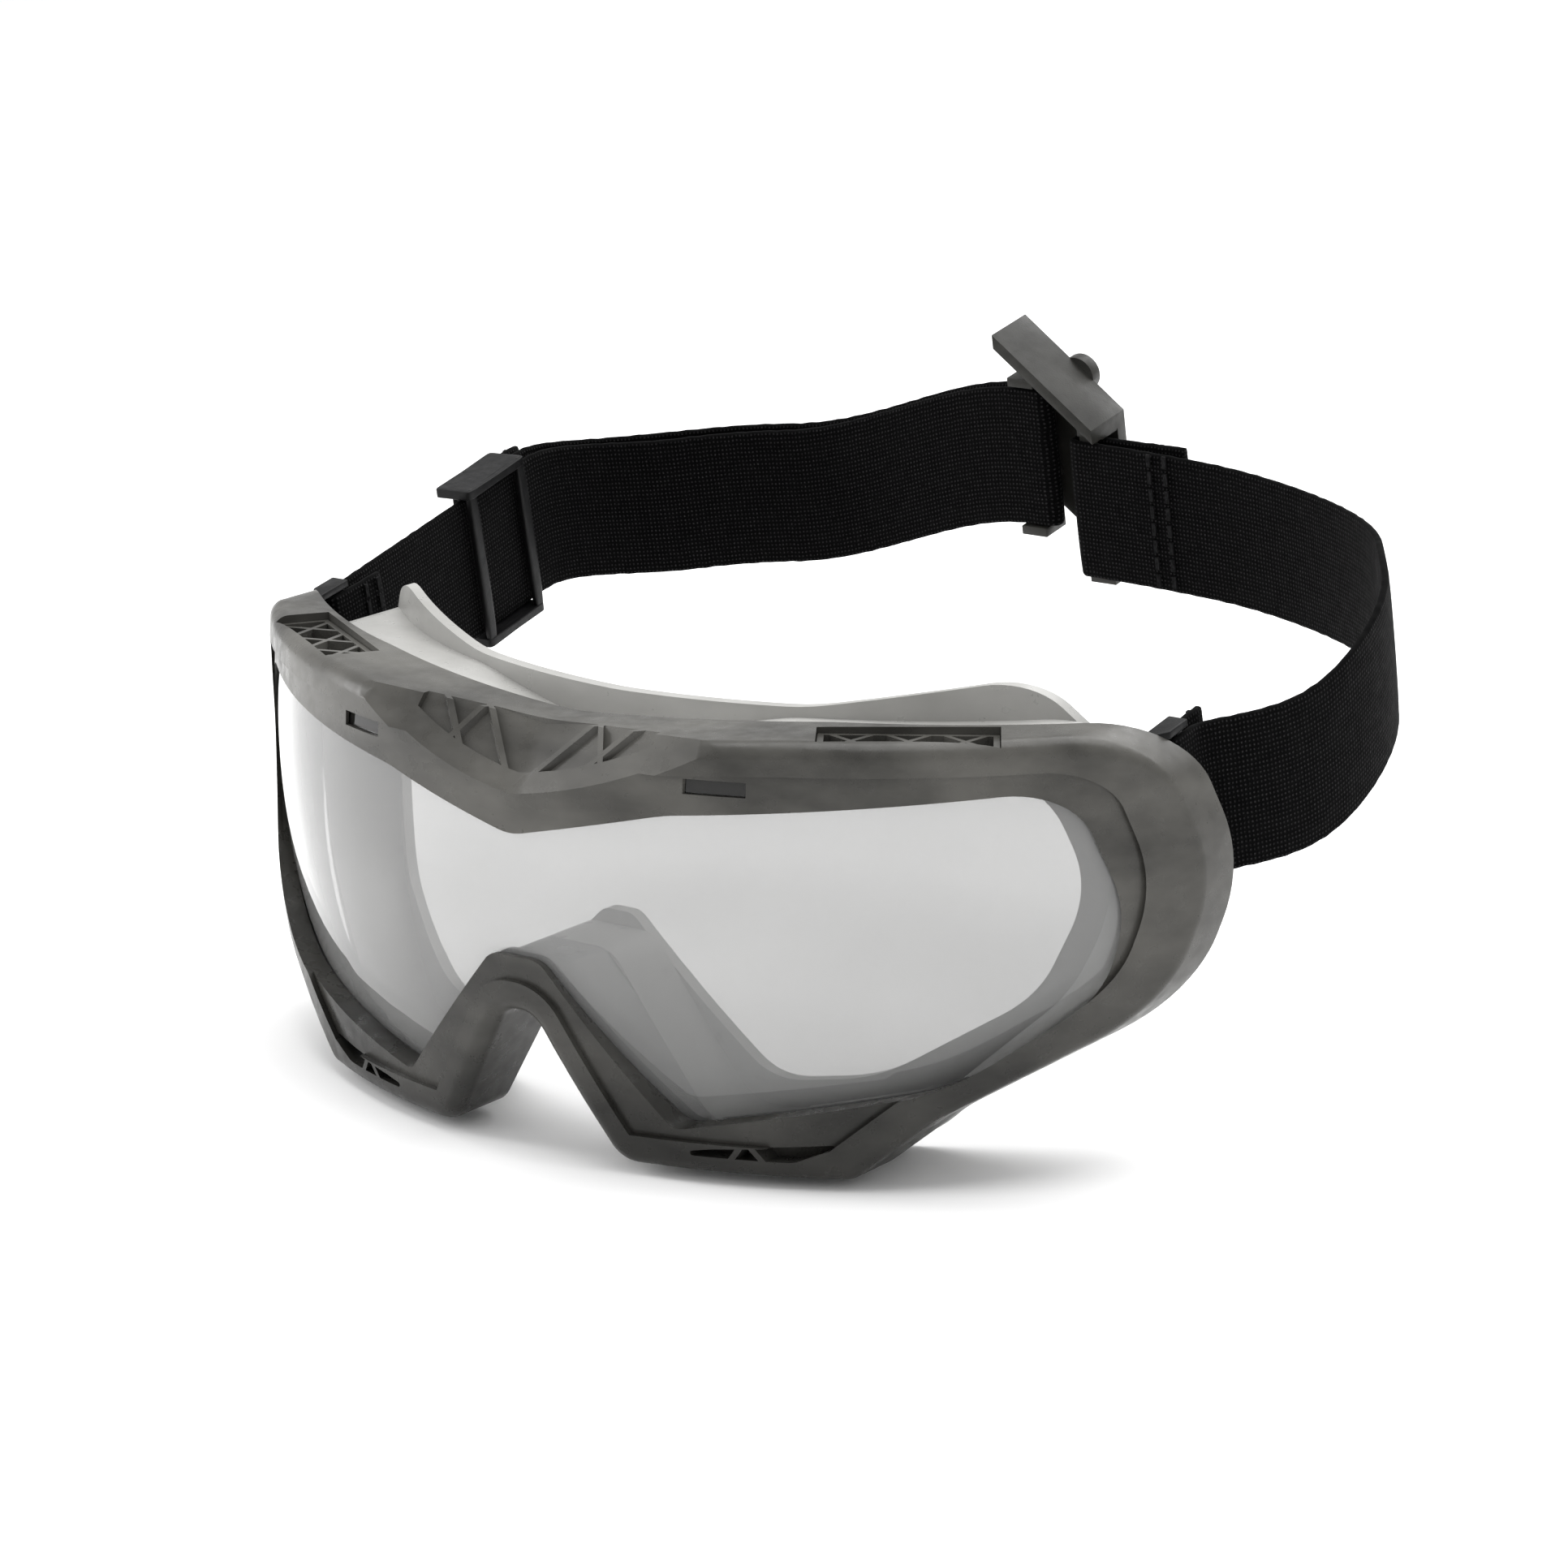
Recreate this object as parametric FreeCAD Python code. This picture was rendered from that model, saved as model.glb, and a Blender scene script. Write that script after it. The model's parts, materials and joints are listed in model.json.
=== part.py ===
import FreeCAD, Part
import math
import os
from FreeCAD import Placement, Rotation, Vector

# Safety goggles: a soft moulded frame with a curved clear lens, a face seal, four vents,
# and an elastic strap with a slide adjuster and a two-part clip at the back of the head.
# Axes: +X to the right as seen from in front of the lens, +Y back towards the face, +Z up.
# Origin: the middle of the face seal's back, level with the bridge of the nose.

doc = FreeCAD.newDocument("safety_goggles")

# ---------------------------------------------------------------- driving sizes, in mm

SIZES = [
    ("frame_width", 171.0, "across the outer rims at the temples"),
    ("frame_height", 66.0, "cheek edge to brow edge"),
    ("seal_depth", 27.5, "lens front to the back of the face seal, at the middle"),
    ("lens_thickness", 2.2, "curved clear lens"),
    ("rim_lip", 1.4, "how far the front rim stands proud of the lens"),
    ("lens_overlap", 3.0, "how far the lens reaches under the rim all round"),
    ("seal_wall", 1.8, "skirt of the face seal"),
    ("seal_face", 2.2, "thickness of the soft lip that meets the face"),
    ("frame_depth", 15.0, "lens front to the back of the frame, at the middle"),
    ("strap_width", 24.0, "elastic webbing, edge to edge"),
    ("strap_thickness", 1.6, "elastic webbing, face to face"),
    ("strap_reach", 121.0, "face seal to the back of the strap loop"),
    ("strap_swell", 95.0, "how far out the strap loop bows beside the head"),
    ("bar_thickness", 1.0, "flat bars that the strap is folded round"),
    ("adjuster_length", 17.0, "slide adjuster, along the strap"),
    ("adjuster_rest", 74.0, "face seal to the adjuster's middle"),
    ("clip_length", 25.0, "rear clip plate, along its top rail"),
    ("clip_plate", 2.4, "thickness of the rear clip's plates"),
]

sheet = doc.addObject("Spreadsheet::Sheet", "Sizes")
for row, (alias, value, note) in enumerate(SIZES, start=1):
    sheet.set("A%d" % row, alias)
    sheet.set("B%d" % row, str(value))
    sheet.set("C%d" % row, note)
    sheet.setAlias("B%d" % row, alias)
doc.recompute()


def size(alias):
    """A driving size, read from the sheet."""
    return float(sheet.get(alias))


# Outline points are laid out on a goggle 171 wide and 66 high, and these two ratios stretch them.
SIDE = size("frame_width") / 171.0
RISE = size("frame_height") / 66.0

LENS_FRONT = -size("seal_depth")
LENS_BEND = 95.0 * SIDE
LENS_DOME = 120.0 * RISE
FRAME_DOME = 260.0 * RISE
DOME_MIDDLE = 17.0 * RISE
FRAME_BACK_BEND = 106.0 * SIDE
FRAME_BACK = LENS_FRONT + size("frame_depth")
SEAL_BEND = 88.0 * SIDE
TALL = 90.0 * RISE
DEEP = 140.0 * SIDE
FIT = 0.15


# ---------------------------------------------------------------- shapes used all over

def front_view(a, b):
    """A point of an outline seen from the front."""
    return Vector(a, 0, b)


def plan_view(a, b):
    """A point of an outline seen from above."""
    return Vector(a, b, 0)


def rounded_wire(points, place=front_view):
    """A closed wire of straight runs with a tangent arc at each corner: (a, b, radius)."""
    count = len(points)
    starts, middles, ends = [], [], []
    for i in range(count):
        a, b, radius = points[i]
        here = Vector(a, b, 0)
        back = Vector(points[i - 1][0], points[i - 1][1], 0) - here
        ahead = Vector(points[(i + 1) % count][0], points[(i + 1) % count][1], 0) - here
        back.normalize()
        ahead.normalize()
        half = back.getAngle(ahead) / 2.0
        if radius <= 0 or half > math.radians(89.9):
            starts.append(here)
            middles.append(None)
            ends.append(here)
            continue
        reach = radius / math.tan(half)
        bisector = (back + ahead).normalize()
        starts.append(here + back * reach)
        ends.append(here + ahead * reach)
        middles.append(here + bisector * (radius / math.sin(half) - radius))
    edges = []
    for i in range(count):
        if middles[i] is not None:
            arc = [place(p.x, p.y) for p in (starts[i], middles[i], ends[i])]
            edges.append(Part.Arc(*arc).toShape())
        following = starts[(i + 1) % count]
        if (following - ends[i]).Length > 1e-4:
            run = [place(p.x, p.y) for p in (ends[i], following)]
            edges.append(Part.makeLine(*run))
    return Part.Wire(edges)


def both_sides(right_half):
    """Complete a left-right symmetric outline from its right half, listed top to bottom."""
    points = [(x * SIDE, z * RISE, radius) for x, z, radius in right_half]
    left_half = [(-x, z, radius) for x, z, radius in reversed(points) if x > 0]
    return points + left_half


def grown(wire, distance):
    """The same outline, moved outwards all round (inwards if negative)."""
    return wire.makeOffset2D(distance)


def column(wire):
    """Everything inside a front-view outline, from well in front to well behind."""
    moved = wire.copy()
    moved.translate(Vector(0, -DEEP / 2.0, 0))
    return Part.Face(moved).extrude(Vector(0, 1.5 * DEEP, 0))


def barrel(step, dome=LENS_DOME):
    """A barrel whose skin is the lens front, moved out by a step: bent across, domed upwards."""
    axis_y = LENS_FRONT + LENS_BEND
    low, high = -TALL * 0.75, TALL * 0.75

    def skin(z):
        rise = z - DOME_MIDDLE
        return LENS_BEND - dome + math.sqrt((dome + step) ** 2 - rise * rise)

    bottom = Vector(skin(low), axis_y, low)
    middle = Vector(skin(DOME_MIDDLE), axis_y, DOME_MIDDLE)
    top = Vector(skin(high), axis_y, high)
    edges = [
        Part.Arc(bottom, middle, top).toShape(),
        Part.makeLine(top, Vector(0, axis_y, high)),
        Part.makeLine(Vector(0, axis_y, high), Vector(0, axis_y, low)),
        Part.makeLine(Vector(0, axis_y, low), bottom),
    ]
    face = Part.Face(Part.Wire(edges))
    return face.revolve(Vector(0, axis_y, 0), Vector(0, 0, 1), 360)


def drum(front, bend):
    """An upright cylinder whose nearest point to the front is at y = front."""
    base = Vector(0, front + bend, -TALL)
    return Part.makeCylinder(bend, 2.0 * TALL, base, Vector(0, 0, 1))


def block(low, high):
    """A box between two corners."""
    span = [b - a for a, b in zip(low, high)]
    return Part.makeBox(span[0], span[1], span[2], Vector(*low))


def mirrored(shape):
    """The same shape on the other side of the nose."""
    return shape.mirror(Vector(0, 0, 0), Vector(1, 0, 0))


parts = []


def add_part(label, shape):
    """A finished sub-part under its own name."""
    item = doc.addObject("Part::Feature", label)
    item.Label = label
    item.Shape = shape
    item.Placement = shape.Placement
    parts.append(item)
    return item


# ---------------------------------------------------------------- outlines, seen from the front

# Each line is the right half: (across, up, corner radius), from the brow round to the nose.
FRAME_OUTLINE = both_sides([
    (0.0, 33.0, 60.0),
    (40.0, 35.5, 60.0),
    (80.5, 36.0, 13.0),
    (86.5, 14.0, 34.0),
    (82.0, -5.0, 22.0),
    (58.0, -20.5, 12.0),
    (47.5, -30.0, 3.0),
    (15.0, -30.0, 5.0),
    (2.6, -9.0, 3.8),
])
WINDOW_OUTLINE = both_sides([
    (0.0, 17.8, 9.0),
    (25.0, 23.8, 28.0),
    (73.2, 28.4, 8.5),
    (78.6, 10.0, 24.0),
    (76.0, -3.0, 15.0),
    (60.0, -16.0, 30.0),
    (24.2, -23.8, 2.5),
    (4.4, -0.6, 3.5),
])
SEAL_OUTLINE = both_sides([
    (0.0, 27.5, 30.0),
    (28.0, 33.0, 30.0),
    (68.0, 33.5, 12.0),
    (75.0, 12.0, 30.0),
    (69.0, -4.0, 20.0),
    (46.0, -27.5, 9.0),
    (22.0, -27.5, 8.0),
    (5.5, -3.5, 4.0),
])
LIP_OUTLINE = both_sides([
    (0.0, 34.0, 60.0),
    (30.0, 34.5, 40.0),
    (58.0, 39.5, 9.0),
    (76.5, 14.0, 22.0),
    (70.5, -3.0, 20.0),
    (45.0, -31.0, 13.0),
    (26.0, -31.0, 8.0),
    (7.0, -5.0, 4.0),
])
EYE_OUTLINE = both_sides([
    (0.0, 22.5, 40.0),
    (58.0, 28.0, 14.0),
    (64.5, 8.0, 20.0),
    (59.0, -8.0, 14.0),
    (40.0, -20.5, 20.0),
    (25.5, -22.0, 9.0),
    (2.6, 0.5, 3.0),
])


# ---------------------------------------------------------------- lens

SNAP_TAB_IN = 26.0 * SIDE
SNAP_TAB_OUT = 37.5 * SIDE
SNAP_TAB_TOP = 31.0 * RISE
window = rounded_wire(WINDOW_OUTLINE)
lens_edge = grown(window, size("lens_overlap"))
lens_seat = grown(window, size("lens_overlap") + FIT)


def snap_tab(slack):
    """The tab on the right half of the lens's top edge that locks it into the frame."""
    low = (SNAP_TAB_IN - slack, -DEEP / 2.0, 20.0 * RISE)
    high = (SNAP_TAB_OUT + slack, DEEP, SNAP_TAB_TOP + slack)
    return block(low, high)


def tabbed(shape, slack):
    """A lens shape with both of its snap tabs."""
    tab = snap_tab(slack)
    return shape.fuse([tab, mirrored(tab)])


thickness = size("lens_thickness")
lens_shell = barrel(0.0).cut(barrel(-thickness))
front_half = block((-DEEP, -DEEP, -TALL), (DEEP, DEEP / 2.0, TALL))
lens = tabbed(column(lens_edge), 0.0).common(lens_shell).common(front_half)

# ---------------------------------------------------------------- frame

FRONT_ROUND = 2.5
CREASE_IN = 4.8
CREASE_DEEP = 0.9


def on_front_skin(edge):
    """Whether an edge lies on the frame's front skin, so that it is one of the edges to round."""
    step = size("rim_lip")
    span = edge.LastParameter - edge.FirstParameter
    for share in (0.1, 0.5, 0.9):
        spot = edge.valueAt(edge.FirstParameter + share * span)
        rise = spot.z - DOME_MIDDLE
        skin = LENS_BEND - FRAME_DOME + math.sqrt((FRAME_DOME + step) ** 2 - rise * rise)
        if abs(math.hypot(spot.x, spot.y - LENS_FRONT - LENS_BEND) - skin) > 0.02:
            return False
    return True


def front_rounded(shape, radius):
    """The shape with every edge of its front skin rounded."""
    return shape.makeFillet(radius, [edge for edge in shape.Edges if on_front_skin(edge)])


face_half = block((-DEEP, -DEEP, -TALL), (DEEP, SEAL_BEND, TALL))
frame_outline = rounded_wire(FRAME_OUTLINE)
seal_outline = rounded_wire(SEAL_OUTLINE)
seal_inside = grown(seal_outline, -size("seal_wall"))
frame_back = drum(FRAME_BACK, FRAME_BACK_BEND)
groove_back = thickness + FIT

frame = column(frame_outline).common(barrel(size("rim_lip"), FRAME_DOME)).cut(frame_back)
frame = front_rounded(frame.common(face_half), FRONT_ROUND)
crease = column(grown(frame_outline, -CREASE_IN)).cut(barrel(size("rim_lip") - CREASE_DEEP, FRAME_DOME))
frame = frame.cut(crease)
frame = frame.cut(column(window))

# The brow dips to a V over the nose: two facets slope up and back from the rim, with a ribbed
# recess behind the ridge.
BROW_DIP = 24.3 * RISE
BROW_SIDE_SLOPE = 0.134
BROW_BACK_SLOPE = 1.1
RIDGE = 1.6
RECESS = 1.3
RECESS_HALF = 21.0 * SIDE
RIB = 0.8


def brow_space(drop):
    """Everything above the brow's two facets, lowered by a drop."""
    up = Vector(-BROW_SIDE_SLOPE, -BROW_BACK_SLOPE, 1.0)
    half = block((-DEEP / 2.0, -DEEP / 2.0, 0), (DEEP / 2.0, DEEP / 2.0, TALL))
    half.Placement = Placement(Vector(0, LENS_FRONT, BROW_DIP - drop), Rotation(Vector(0, 0, 1), up))
    return half.common(mirrored(half))


def brow_rib(x, lean):
    """An upright rib across the right half of the recess."""
    rib = block((-RIB / 2.0, -DEEP / 2.0, 0), (RIB / 2.0, DEEP / 2.0, TALL))
    rib.Placement = Placement(Vector(x, LENS_FRONT + 4.0, 0), Rotation(Vector(0, 0, 1), lean))
    return rib


frame = frame.cut(brow_space(0.0))
recess = brow_space(RECESS).common(block((-RECESS_HALF, -DEEP, 0), (RECESS_HALF, LENS_FRONT + 8.5, TALL)))
recess = recess.common(barrel(-RIDGE))
ribs = [brow_rib(5.0 * SIDE, -50.0), brow_rib(13.0 * SIDE, -50.0), brow_rib(13.0 * SIDE, 35.0)]
frame = frame.cut(recess.cut(ribs + [mirrored(rib) for rib in ribs]))

# A latch window over each snap tab, through the rim's front lip.
latch_low = (SNAP_TAB_IN + 1.6, -DEEP, 27.2 * RISE)
latch_high = (SNAP_TAB_OUT - 1.2, DEEP, 29.4 * RISE)
latch = block(latch_low, latch_high).cut(barrel(FIT))
frame = frame.cut([latch, mirrored(latch)])

# A slit along the front of each cheek, with a small zigzag web at its middle.
SLIT = [(22.7, -27.2, 0.4), (30.0, -25.9, 4.0), (47.4, -24.3, 0.3), (41.0, -27.2, 4.0)]
SLIT_DEEP = 2.0
slit_wire = rounded_wire([(x * SIDE, z * RISE, radius) for x, z, radius in SLIT])
slit = column(slit_wire).common(block((-DEEP, -DEEP, -TALL), (DEEP, LENS_FRONT + LENS_BEND, TALL)))
slit = slit.cut(barrel(size("rim_lip") - CREASE_DEEP - SLIT_DEEP, FRAME_DOME))
webs = []
for web_x, web_lean in ((33.5, 35.0), (36.0, -35.0)):
    web = block((-0.4, -DEEP, -6.0), (0.4, DEEP, 6.0))
    web.Placement = Placement(Vector(web_x * SIDE, 0, -26.0 * RISE), Rotation(Vector(0, 1, 0), web_lean))
    webs.append(web)
slit = slit.cut(webs)
frame = frame.cut([slit, mirrored(slit)])
frame = frame.cut(column(seal_inside).common(barrel(-groove_back - 1.2)))
frame = frame.cut(tabbed(column(lens_seat), FIT).common(barrel(FIT).cut(barrel(-groove_back))))

# Top vents: a channel through the brow on each side, closed by a lattice grille.
VENT_ANGLE = 33.0
VENT_MIDDLE = Vector(53.0 * SIDE, LENS_FRONT + 22.8 * SIDE, 0)
VENT_LONG = 26.0 * SIDE
VENT_WIDE = 8.4
VENT_LEDGE = 0.9
GRILLE_TOP = 34.6 * RISE
GRILLE_THICK = 2.0
LATTICE_LEAN = 40.0
vent_place = Placement(VENT_MIDDLE, Rotation(Vector(0, 0, 1), VENT_ANGLE))


def vent_block(long, wide, low, high):
    """A box along the right top vent, which follows the bend of the brow."""
    shape = block((-long / 2.0, -wide / 2.0, low), (long / 2.0, wide / 2.0, high))
    shape.Placement = vent_place
    return shape


vent_channel = vent_block(VENT_LONG - 2.0 * VENT_LEDGE, VENT_WIDE - 2.0 * VENT_LEDGE, 22.0 * RISE, TALL)
vent_recess = vent_block(VENT_LONG, VENT_WIDE, GRILLE_TOP - GRILLE_THICK, TALL)
for cutter in (vent_channel, vent_recess):
    frame = frame.cut([cutter, mirrored(cutter)])

# Lower vents: a slot through each cheek, filled by a baffle.
LOWER_IN, LOWER_OUT = 23.0 * SIDE, 43.0 * SIDE
LOWER_MIDDLE = (LOWER_IN + LOWER_OUT) / 2.0
LOWER_TURN = 20.0
lower_place = Placement(
    Vector(LOWER_MIDDLE, LENS_FRONT + 13.6 * SIDE, 0), Rotation(Vector(0, 0, 1), LOWER_TURN))


def lower_block(long, wide, low, high):
    """A box along the right lower vent, which follows the bend of the cheek."""
    shape = block((-long / 2.0, -wide / 2.0, low), (long / 2.0, wide / 2.0, high))
    shape.Placement = lower_place
    return shape


LOWER_LONG = LOWER_OUT - LOWER_IN
LOWER_WIDE = 4.6
CHEEK = -30.0 * RISE
BAFFLE_TOP = CHEEK + 2.6
lower_slot = lower_block(LOWER_LONG, LOWER_WIDE, 2.0 * CHEEK, BAFFLE_TOP + FIT)
air_way = lower_block(LOWER_LONG - 5.0, 1.8, CHEEK + 1.0, -15.0 * RISE)
air_way.translate(Vector(-1.0, 3.0, 0))
frame = frame.cut([lower_slot, mirrored(lower_slot), air_way, mirrored(air_way)])


def top_grille():
    """The right lattice grille: a rim with slanting bars, open between them."""
    rim = 0.9
    bar_half = 0.4
    plate = vent_block(VENT_LONG - 2 * FIT, VENT_WIDE - 2 * FIT, GRILLE_TOP - GRILLE_THICK, GRILLE_TOP)
    hole = vent_block(VENT_LONG - 2 * FIT - 2 * rim, VENT_WIDE - 2 * FIT - 2 * rim, 0, TALL)
    bays = 3
    pitch = (VENT_LONG - 2 * rim) / bays
    bars = []
    for bay in range(bays):
        for lean in (-1, 1):
            low = (-bar_half, -VENT_WIDE, GRILLE_TOP - GRILLE_THICK)
            slat = block(low, (bar_half, VENT_WIDE, GRILLE_TOP))
            slat.rotate(Vector(0, 0, 0), Vector(0, 0, 1), lean * LATTICE_LEAN)
            slat.translate(Vector((bay - (bays - 1) / 2.0) * pitch, 0, 0))
            slat.Placement = vent_place.multiply(slat.Placement)
            bars.append(slat)
    lattice = bars[0].fuse(bars[1:]).common(hole)
    return plate.cut(hole).fuse(lattice)


def lower_baffle():
    """The right cheek baffle: a strip with a pair of slots either side of a centre web."""
    strip = lower_block(LOWER_LONG - 2 * FIT, LOWER_WIDE - 2 * FIT, CHEEK + 0.8, BAFFLE_TOP)
    slots = []
    for side in (-1, 1):
        slot = block((-3.4, -0.9, 2 * CHEEK), (3.4, 0.9, 0))
        slot.translate(Vector(side * LOWER_LONG / 4.0, 0, 0))
        slot.Placement = lower_place.multiply(slot.Placement)
        slots.append(slot)
    return strip.cut(slots)


# ---------------------------------------------------------------- face seal

seal_back = drum(0.0, SEAL_BEND)
lip_front = drum(-size("seal_face"), SEAL_BEND)
seal_skirt = column(seal_outline).cut(column(seal_inside)).common(frame_back).cut(lip_front)
eye_opening = rounded_wire(EYE_OUTLINE)
seal_lip = column(rounded_wire(LIP_OUTLINE)).cut(column(eye_opening)).common(lip_front).cut(seal_back)
face_seal = seal_skirt.fuse(seal_lip).common(face_half)

# ---------------------------------------------------------------- strap layout

# The strap loop lies in one plane that rises towards the back of the head. In that plane x runs
# across, y runs back from the hang line at the temples, and z is the webbing's own width.
STRAP_RISE = 11.4
HANG_BACK = 24.0 * SIDE
HANG_UP = 20.4 * RISE
hang = Placement(Vector(0, HANG_BACK, HANG_UP), Rotation(Vector(1, 0, 0), STRAP_RISE))
SLANT = math.cos(math.radians(STRAP_RISE))

band = size("strap_thickness")
half_band = band / 2.0
half_width = size("strap_width") / 2.0
bar = size("bar_thickness")
LAYER = band + bar
BAR_WIDE = 3.0
BACK = (size("strap_reach") - HANG_BACK) / SLANT
EASE = 0.3


def hung(shape):
    """Put a shape drawn in the strap's own plane into its place on the goggles."""
    shape.Placement = hang.multiply(shape.Placement)
    return shape


def sideways(points, distance):
    """An open path moved to its left, with each corner's arc kept concentric."""
    spots = [Vector(a, b, 0) for a, b, radius in points]
    ways = [(spots[i + 1] - spots[i]).normalize() for i in range(len(spots) - 1)]
    moved = []
    for i, (a, b, radius) in enumerate(points):
        before, after = ways[max(i - 1, 0)], ways[min(i, len(ways) - 1)]
        left_before = Vector(-before.y, before.x, 0)
        left_after = Vector(-after.y, after.x, 0)
        spot = spots[i] + (left_before + left_after) * (distance / (1.0 + left_before.dot(left_after)))
        turn = before.x * after.y - before.y * after.x
        if radius > 0:
            radius -= math.copysign(1.0, turn) * distance
        moved.append((spot.x, spot.y, radius))
    return moved


def webbing(points, width=2.0 * half_width, thick=band):
    """A flat strap standing on edge along a path seen from above."""
    outline = sideways(points, thick / 2.0) + sideways(points, -thick / 2.0)[::-1]
    face = Part.Face(rounded_wire(outline, plan_view))
    solid = face.extrude(Vector(0, 0, width))
    solid.translate(Vector(0, 0, -width / 2.0))
    return solid


def bend(before, corner, after, share):
    """A corner whose arc takes up a share of the shorter of the two runs that meet there."""
    spots = [Vector(spot[0], spot[1], 0) for spot in (before, corner, after)]
    run_in = spots[1] - spots[0]
    run_out = spots[2] - spots[1]
    half_turn = run_in.getAngle(run_out) / 2.0
    radius = share * min(run_in.Length, run_out.Length) / math.tan(half_turn)
    return (corner[0], corner[1], radius)


def other_side(points):
    """The same path on the left of the head."""
    return [(-a, b, radius) for a, b, radius in points]


# ---------------------------------------------------------------- strap lugs on the frame

LUG_ACROSS = 77.5 * SIDE
LUG_BAR = 3.5
LUG_HALF = half_width + 1.6
LUG_THICK = 3.2


def strap_lug():
    """The right lug: a loop of hard plastic with a flat bar for the strap, footed on the frame."""
    half = LUG_THICK / 2.0
    foot = block((LUG_ACROSS - half, -12.0, -LUG_HALF), (LUG_ACROSS + half, -0.4, LUG_HALF))
    arms = []
    for side in (-1, 1):
        inner, outer = side * (half_width + 0.4), side * LUG_HALF
        low, high = min(inner, outer), max(inner, outer)
        arms.append(block((LUG_ACROSS - half, -12.0, low), (LUG_ACROSS + half, LUG_BAR + BAR_WIDE, high)))
    low = (LUG_ACROSS - bar / 2.0, LUG_BAR, -LUG_HALF)
    rod = block(low, (LUG_ACROSS + bar / 2.0, LUG_BAR + BAR_WIDE, LUG_HALF))
    return hung(foot.fuse(arms + [rod])).common(frame_back)


# ---------------------------------------------------------------- strap lengths

CLIP_BAR = 3.0
lug_fold = [
    (LUG_ACROSS - LAYER / 2.0, LUG_BAR - LAYER / 2.0, LAYER / 2.0),
    (LUG_ACROSS + LAYER / 2.0, LUG_BAR - LAYER / 2.0, LAYER / 2.0),
]
RIGHT_TAB = 19.0
LUG_TAB = 14.0
LUG_STRAIGHT = 9.0
swell = size("strap_swell") * SIDE
right_leave = (LUG_ACROSS + LAYER / 2.0, LUG_STRAIGHT)
right_bow = (swell + 1.5, 0.37 * BACK)
right_shoulder = (0.6 * swell, BACK)
right_arrive = (CLIP_BAR - LAYER / 2.0, BACK)
right_path = [(LUG_ACROSS - LAYER / 2.0, LUG_TAB, 0)] + lug_fold + [
    right_leave + (6.0,),
    bend(right_leave, right_bow, right_shoulder, 0.855),
    bend(right_bow, right_shoulder, right_arrive, 0.558),
    right_arrive + (LAYER / 2.0,),
    (CLIP_BAR - LAYER / 2.0, BACK + LAYER, LAYER / 2.0),
    (CLIP_BAR + RIGHT_TAB, BACK + LAYER, 0),
]
right_strap = hung(webbing(right_path))

# On the left one length of webbing runs from the lug, through the adjuster and round the rear
# clip, and comes back outside itself to be sewn to the adjuster's middle bar.
LEFT_CUT = -32.0 * SIDE
LEFT_CORNER = (0.89 * swell, 0.755 * BACK)
LEFT_SHOULDER = (0.55 * swell, BACK)
left_end = (-LEFT_CUT, BACK)
left_run = [
    right_leave + (0,),
    bend(right_leave, LEFT_CORNER, LEFT_SHOULDER, 0.344),
    bend(LEFT_CORNER, LEFT_SHOULDER, left_end, 0.953),
    left_end + (0,),
]
left_inner = [(LUG_ACROSS - LAYER / 2.0, LUG_TAB, 0)] + lug_fold + left_run[1:]
left_strap = hung(webbing(other_side(left_inner)))

# The adjuster rides on the straight stretch of the left strap, from the lug to the first bend.
run_start = Vector(-(LUG_ACROSS + LAYER / 2.0), LUG_STRAIGHT, 0)
run_end = Vector(-LEFT_CORNER[0], LEFT_CORNER[1], 0)
run_way = (run_end - run_start).normalize()
run_turn = math.degrees(math.atan2(-run_way.x, run_way.y))
rest_along = ((size("adjuster_rest") - HANG_BACK) / SLANT - LUG_STRAIGHT) / run_way.y
ride = Placement(run_start + run_way * rest_along, Rotation(Vector(0, 0, 1), run_turn))


def riding(shape):
    """Put a shape drawn about the adjuster's middle (x outwards is minus, y back) on the strap."""
    shape.Placement = ride.multiply(shape.Placement)
    return hung(shape)


ADJUSTER_HALF = size("adjuster_length") / 2.0
ADJUSTER_TALL = half_width + 2.0
INNER_FACE = half_band + EASE
ROD_FACE = LAYER + half_band
RAIL = 1.2


def strap_adjuster():
    """A slide adjuster: two end cheeks joined by a middle bar outside and two rails inside."""
    pieces = []
    for side in (-1, 1):
        near, far = side * (half_width + EASE), side * ADJUSTER_TALL
        low, high = min(near, far), max(near, far)
        cheek = block((-ROD_FACE - bar - 0.3, -ADJUSTER_HALF, low), (INNER_FACE + RAIL, ADJUSTER_HALF, high))
        pieces.append(cheek)
    for end in (-1, 1):
        middle = end * (ADJUSTER_HALF - RAIL)
        low = (INNER_FACE, middle - RAIL, -ADJUSTER_TALL)
        high = (INNER_FACE + RAIL, middle + RAIL, ADJUSTER_TALL)
        pieces.append(block(low, high))
    low = (-ROD_FACE - bar, -BAR_WIDE / 2.0, -ADJUSTER_TALL)
    high = (-ROD_FACE, BAR_WIDE / 2.0, ADJUSTER_TALL)
    pieces.append(block(low, high))
    return riding(pieces[0].fuse(pieces[1:]))


SEWN_LONG = 19.0
sewn_path = [
    (-LAYER, SEWN_LONG + 1.0, 0),
    (-LAYER, -BAR_WIDE / 2.0 - LAYER / 2.0, LAYER / 2.0),
    (-2.0 * LAYER, -BAR_WIDE / 2.0 - LAYER / 2.0, LAYER / 2.0),
    (-2.0 * LAYER, SEWN_LONG - 2.0, 0),
]
sewn_end = riding(webbing(sewn_path))

ahead_of_sewn_end = block((-TALL, -DEEP, -TALL), (TALL, SEWN_LONG + 1.0 + EASE, TALL))
ahead_of_sewn_end.Placement = ride
outer_layer = webbing(sideways(other_side(left_run), LAYER))
left_strap_return = hung(outer_layer.cut(ahead_of_sewn_end))

# ---------------------------------------------------------------- rear clip

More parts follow.
